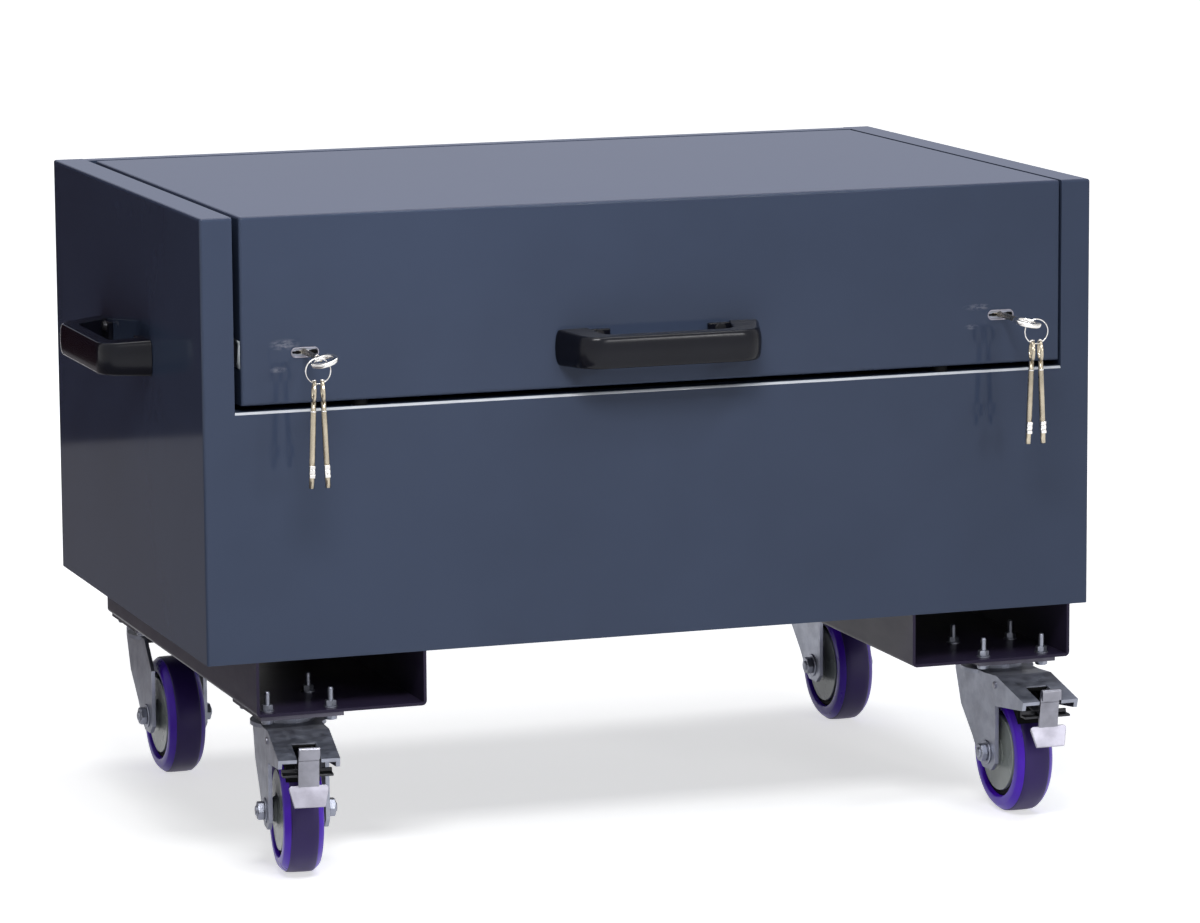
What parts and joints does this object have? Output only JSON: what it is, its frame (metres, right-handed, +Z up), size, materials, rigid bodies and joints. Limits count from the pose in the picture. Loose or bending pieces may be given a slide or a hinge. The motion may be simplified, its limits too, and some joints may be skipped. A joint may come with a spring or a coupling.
{
  "type": "site security box",
  "caption": "Lockable sheet-steel site box on swivel castors, with fork channels, side and front handles, and a hinged lid whose front flap carries key locks.",
  "frame": {"origin": "middle of the whole outline seen from above, on the floor", "axes": "+X to the right along the box's length, +Y to the back, +Z up"},
  "size_m": [1.04, 0.6881, 0.654],
  "materials": {
    "shell_paint": "semi-gloss dark blue-grey powder coat on steel sheet",
    "channel_paint": "dark powder coat on folded steel",
    "zinc_plate": "bright zinc plate",
    "handle_plastic": "finely grained black plastic",
    "screw_steel": "dark zinc screws",
    "black_rubber": "matt black rubber",
    "key_nickel": "nickel-plated, slightly warm",
    "strut_black": "satin black tube",
    "strut_rod_chrome": "polished rod",
    "wheel_grey": "light grey moulded wheel centre",
    "tyre_purple": "elastic tyre in violet blue"
  },
  "bodies": {
    "box": {"left_side_panel": "shell_paint", "right_side_panel": "shell_paint", "front_panel": "shell_paint", "back_panel": "shell_paint", "floor_panel": "shell_paint", "left_fork_channel": "channel_paint", "right_fork_channel": "channel_paint", "castor_top_plates": "zinc_plate", "castor_bolts": "zinc_plate", "castor_nuts": "zinc_plate", "left_side_handle": "handle_plastic", "right_side_handle": "handle_plastic", "side_handle_screws": "screw_steel", "hinge_body_leaf": "zinc_plate", "strut_body_brackets": "zinc_plate", "strike_plates": "zinc_plate", "lid_buffers": "black_rubber"},
    "lid": {"lid_shell": "shell_paint", "lid_stiffener": "shell_paint", "front_handle": "handle_plastic", "front_handle_screws": "screw_steel", "hinge_lid_leaf": "zinc_plate", "hinge_pin": "zinc_plate", "strut_lid_brackets": "zinc_plate", "left_lock_case": "zinc_plate", "right_lock_case": "zinc_plate"},
    "left_bolt": {"left_lock_bolt": "zinc_plate"},
    "left_key": {"left_key": "key_nickel"},
    "left_ring": {"left_key_ring": "key_nickel"},
    "left_spare_key_a_body": {"left_spare_key_a": "key_nickel"},
    "left_spare_key_b_body": {"left_spare_key_b": "key_nickel"},
    "left_cylinder": {"left_strut_cylinder": "strut_black"},
    "left_rod": {"left_strut_rod": "strut_rod_chrome"},
    "right_bolt": {"right_lock_bolt": "zinc_plate"},
    "right_key": {"right_key": "key_nickel"},
    "right_ring": {"right_key_ring": "key_nickel"},
    "right_spare_key_a_body": {"right_spare_key_a": "key_nickel"},
    "right_spare_key_b_body": {"right_spare_key_b": "key_nickel"},
    "right_cylinder": {"right_strut_cylinder": "strut_black"},
    "right_rod": {"right_strut_rod": "strut_rod_chrome"},
    "front_left_swivel": {"front_left_fork": "zinc_plate", "front_left_axle": "zinc_plate"},
    "front_left_wheel": {"front_left_wheel_core": "wheel_grey", "front_left_tyre": "tyre_purple"},
    "front_left_brake": {"front_left_brake_pedal": "zinc_plate", "front_left_brake_shoe": "black_rubber"},
    "front_right_swivel": {"front_right_fork": "zinc_plate", "front_right_axle": "zinc_plate"},
    "front_right_wheel": {"front_right_wheel_core": "wheel_grey", "front_right_tyre": "tyre_purple"},
    "front_right_brake": {"front_right_brake_pedal": "zinc_plate", "front_right_brake_shoe": "black_rubber"},
    "rear_left_swivel": {"rear_left_fork": "zinc_plate", "rear_left_axle": "zinc_plate"},
    "rear_left_wheel": {"rear_left_wheel_core": "wheel_grey", "rear_left_tyre": "tyre_purple"},
    "rear_right_swivel": {"rear_right_fork": "zinc_plate", "rear_right_axle": "zinc_plate"},
    "rear_right_wheel": {"rear_right_wheel_core": "wheel_grey", "rear_right_tyre": "tyre_purple"}
  },
  "joints": [
    {"name": "lid_hinge", "type": "hinge", "parent": "box", "child": "lid", "pos_m": [0, 0.318, 0.65], "axis": [-1, 0, 0], "range_deg": [0, 85]},
    {"name": "left_key_turn", "type": "hinge", "parent": "lid", "child": "left_key", "pos_m": [-0.366, -0.3228, 0.519], "axis": [0, -1, 0], "range_deg": [0, 90]},
    {"name": "left_bolt_slide", "type": "slide", "parent": "lid", "child": "left_bolt", "axis": [-1, 0, 0], "range_m": [0, 0.014]},
    {"name": "left_ring_swing", "type": "hinge", "parent": "left_key", "child": "left_ring", "pos_m": [-0.3765, -0.3228, 0.519], "axis": [0, -1, 0], "range_deg": [-90, 0]},
    {"name": "left_spare_key_a_swing", "type": "hinge", "parent": "left_ring", "child": "left_spare_key_a_body", "pos_m": [-0.3799, -0.3228, 0.49767], "axis": [1, 0, 0], "range_deg": [-60, 30]},
    {"name": "left_spare_key_b_swing", "type": "hinge", "parent": "left_ring", "child": "left_spare_key_b_body", "pos_m": [-0.3731, -0.3228, 0.49767], "axis": [1, 0, 0], "range_deg": [-60, 30]},
    {"name": "left_cylinder_swing", "type": "hinge", "parent": "box", "child": "left_cylinder", "pos_m": [-0.405, 0.221, 0.366], "axis": [-1, 0, 0], "range_deg": [0, 42.5]},
    {"name": "left_rod_swing", "type": "hinge", "parent": "lid", "child": "left_rod", "pos_m": [-0.405, 0.01856, 0.63], "axis": [-1, 0, 0], "range_deg": [-42.5, 0]},
    {"name": "right_key_turn", "type": "hinge", "parent": "lid", "child": "right_key", "pos_m": [0.371, -0.3228, 0.519], "axis": [0, 1, 0], "range_deg": [0, 90]},
    {"name": "right_bolt_slide", "type": "slide", "parent": "lid", "child": "right_bolt", "axis": [1, 0, 0], "range_m": [0, 0.014]},
    {"name": "right_ring_swing", "type": "hinge", "parent": "right_key", "child": "right_ring", "pos_m": [0.3815, -0.3228, 0.519], "axis": [0, 1, 0], "range_deg": [-90, 0]},
    {"name": "right_spare_key_a_swing", "type": "hinge", "parent": "right_ring", "child": "right_spare_key_a_body", "pos_m": [0.3781, -0.3228, 0.49767], "axis": [1, 0, 0], "range_deg": [-60, 30]},
    {"name": "right_spare_key_b_swing", "type": "hinge", "parent": "right_ring", "child": "right_spare_key_b_body", "pos_m": [0.3849, -0.3228, 0.49767], "axis": [1, 0, 0], "range_deg": [-60, 30]},
    {"name": "right_cylinder_swing", "type": "hinge", "parent": "box", "child": "right_cylinder", "pos_m": [0.405, 0.221, 0.366], "axis": [-1, 0, 0], "range_deg": [0, 42.5]},
    {"name": "right_rod_swing", "type": "hinge", "parent": "lid", "child": "right_rod", "pos_m": [0.405, 0.01856, 0.63], "axis": [-1, 0, 0], "range_deg": [-42.5, 0]},
    {"name": "front_left_swivel_turn", "type": "hinge", "parent": "box", "child": "front_left_swivel", "pos_m": [-0.374, -0.202, 0.15], "axis": [0, 0, 1], "continuous": true},
    {"name": "front_left_wheel_spin", "type": "hinge", "parent": "front_left_swivel", "child": "front_left_wheel", "pos_m": [-0.37974, -0.24562, 0.0625], "axis": [0.9914, -0.1305, 0], "continuous": true},
    {"name": "front_left_brake_pedal_lift", "type": "hinge", "parent": "front_left_swivel", "child": "front_left_brake", "pos_m": [-0.38256, -0.26704, 0.137], "axis": [-0.9914, 0.1305, 0], "range_deg": [0, 10]},
    {"name": "front_right_swivel_turn", "type": "hinge", "parent": "box", "child": "front_right_swivel", "pos_m": [0.392, -0.202, 0.15], "axis": [0, 0, 1], "continuous": true},
    {"name": "front_right_wheel_spin", "type": "hinge", "parent": "front_right_swivel", "child": "front_right_wheel", "pos_m": [0.392, -0.246, 0.0625], "axis": [1, 0, 0], "continuous": true},
    {"name": "front_right_brake_pedal_lift", "type": "hinge", "parent": "front_right_swivel", "child": "front_right_brake", "pos_m": [0.392, -0.2676, 0.137], "axis": [-1, 0, 0], "range_deg": [0, 10]},
    {"name": "rear_left_swivel_turn", "type": "hinge", "parent": "box", "child": "rear_left_swivel", "pos_m": [-0.374, 0.29, 0.15], "axis": [0, 0, 1], "continuous": true},
    {"name": "rear_left_wheel_spin", "type": "hinge", "parent": "rear_left_swivel", "child": "rear_left_wheel", "pos_m": [-0.374, 0.246, 0.0625], "axis": [1, 0, 0], "continuous": true},
    {"name": "rear_right_swivel_turn", "type": "hinge", "parent": "box", "child": "rear_right_swivel", "pos_m": [0.392, 0.29, 0.15], "axis": [0, 0, 1], "continuous": true},
    {"name": "rear_right_wheel_spin", "type": "hinge", "parent": "rear_right_swivel", "child": "rear_right_wheel", "pos_m": [0.392, 0.246, 0.0625], "axis": [1, 0, 0], "continuous": true}
  ],
  "couplings": [
    {"joint": "left_key_turn", "follows": "left_bolt_slide", "rad_per_m": 112.2},
    {"joint": "left_ring_swing", "follows": "left_bolt_slide", "rad_per_m": -112.2},
    {"joint": "left_cylinder_swing", "follows": "lid_hinge", "ratio": 0.5},
    {"joint": "left_rod_swing", "follows": "lid_hinge", "ratio": -0.5},
    {"joint": "right_key_turn", "follows": "right_bolt_slide", "rad_per_m": 112.2},
    {"joint": "right_ring_swing", "follows": "right_bolt_slide", "rad_per_m": -112.2},
    {"joint": "right_cylinder_swing", "follows": "lid_hinge", "ratio": 0.5},
    {"joint": "right_rod_swing", "follows": "lid_hinge", "ratio": -0.5}
  ]
}
